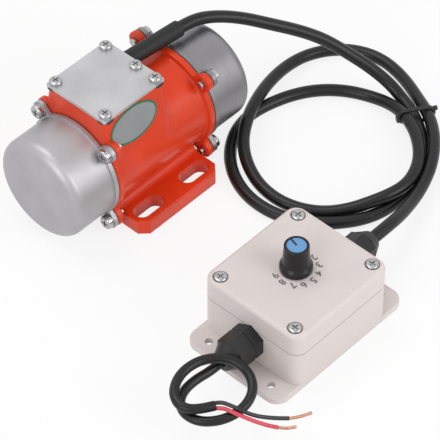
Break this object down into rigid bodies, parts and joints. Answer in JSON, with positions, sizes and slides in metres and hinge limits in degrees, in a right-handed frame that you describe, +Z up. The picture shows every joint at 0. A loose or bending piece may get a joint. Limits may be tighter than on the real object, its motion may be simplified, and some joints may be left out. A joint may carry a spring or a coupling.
{
  "type": "vibration motor with speed controller",
  "caption": "Round-ended vibration motor on a slotted foot, wired by a coiled cable to a boxed speed controller with a dial knob and a supply lead.",
  "frame": {"origin": "centre of the motor foot's bottom face", "axes": "+X along the motor shaft towards the end where the cable leaves, +Z up, -Y towards the controller"},
  "size_m": [0.2503, 0.2082, 0.0712],
  "materials": {
    "orange_paint": "glossy orange enamel on a die casting",
    "satin_aluminium": "satin machined aluminium",
    "lid_plate": "pale brushed plate",
    "zinc_steel": "zinc plated steel",
    "ground_steel": "ground bearing and shaft steel",
    "lamination": "stacked electrical steel",
    "copper": "enamelled or bare copper",
    "magnet": "plated magnet",
    "black_rubber": "matt black rubber",
    "black_jacket": "satin black cable jacket",
    "red_jacket": "satin red wire insulation",
    "warm_white": "fine matt warm white moulding",
    "black_plastic": "satin black moulding",
    "blue_plastic": "satin blue moulding",
    "cage_plastic": "natural nylon",
    "board_green": "green circuit board"
  },
  "bodies": {
    "motor_and_controller": {"motor_housing": "orange_paint", "cable_sleeve": "black_rubber", "terminal_lid_gasket": "black_rubber", "terminal_lid": "lid_plate", "terminal_lid_screws": "zinc_steel", "terminal_block": "black_plastic", "phase_wires": "red_jacket", "left_end_cap": "satin_aluminium", "right_end_cap": "satin_aluminium", "cap_gaskets": "black_rubber", "left_bearing_shield": "satin_aluminium", "right_bearing_shield": "satin_aluminium", "bearing_outer_rings": "ground_steel", "cap_screws": "zinc_steel", "cap_washers": "zinc_steel", "stator_core": "lamination", "stator_windings": "copper", "controller_base": "warm_white", "controller_seal": "black_rubber", "controller_lid": "warm_white", "controller_lid_screws": "zinc_steel", "circuit_board": "board_green", "board_screws": "zinc_steel", "capacitors": "black_plastic", "power_transistors": "black_plastic", "board_terminals": "board_green", "potentiometer_body": "ground_steel", "potentiometer_nut": "zinc_steel", "input_gland_body": "black_plastic", "input_gland_nut": "black_plastic", "output_gland_body": "black_plastic", "output_gland_nut": "black_plastic", "gland_locknuts": "black_plastic", "gland_seals": "black_rubber", "motor_cable_lead": "black_jacket", "motor_cable_coil": "black_jacket", "motor_cable_tail": "black_jacket", "cable_tie": "black_plastic", "supply_cable": "black_jacket", "black_wire": "black_jacket", "red_wire": "red_jacket", "copper_strands": "copper"},
    "rotor": {"rotor_shaft": "ground_steel", "rotor_core": "lamination", "rotor_magnets": "magnet", "bearing_inner_rings": "ground_steel", "left_inner_weight": "zinc_steel", "left_outer_weight": "zinc_steel", "right_inner_weight": "zinc_steel", "right_outer_weight": "zinc_steel", "weight_clamp_bolts": "zinc_steel"},
    "left_cage": {"left_bearing_balls": "ground_steel", "left_bearing_cage": "cage_plastic"},
    "right_cage": {"right_bearing_balls": "ground_steel", "right_bearing_cage": "cage_plastic"},
    "speed_knob": {"knob": "black_plastic", "knob_cap": "blue_plastic", "potentiometer_shaft": "ground_steel"}
  },
  "joints": [
    {"name": "rotor_spin", "type": "hinge", "parent": "motor_and_controller", "child": "rotor", "pos_m": [0, 0, 0.03], "axis": [1, 0, 0], "continuous": true},
    {"name": "left_cage_spin", "type": "hinge", "parent": "motor_and_controller", "child": "left_cage", "pos_m": [0, 0, 0.03], "axis": [1, 0, 0], "continuous": true},
    {"name": "right_cage_spin", "type": "hinge", "parent": "motor_and_controller", "child": "right_cage", "pos_m": [0, 0, 0.03], "axis": [1, 0, 0], "continuous": true},
    {"name": "knob_turn", "type": "hinge", "parent": "motor_and_controller", "child": "speed_knob", "pos_m": [-0.0169, -0.1228, 0], "axis": [0, 0, 1], "range_deg": [-300, 0]}
  ],
  "couplings": [
    {"joint": "left_cage_spin", "follows": "rotor_spin", "ratio": 0.3678},
    {"joint": "right_cage_spin", "follows": "rotor_spin", "ratio": 0.3678}
  ]
}
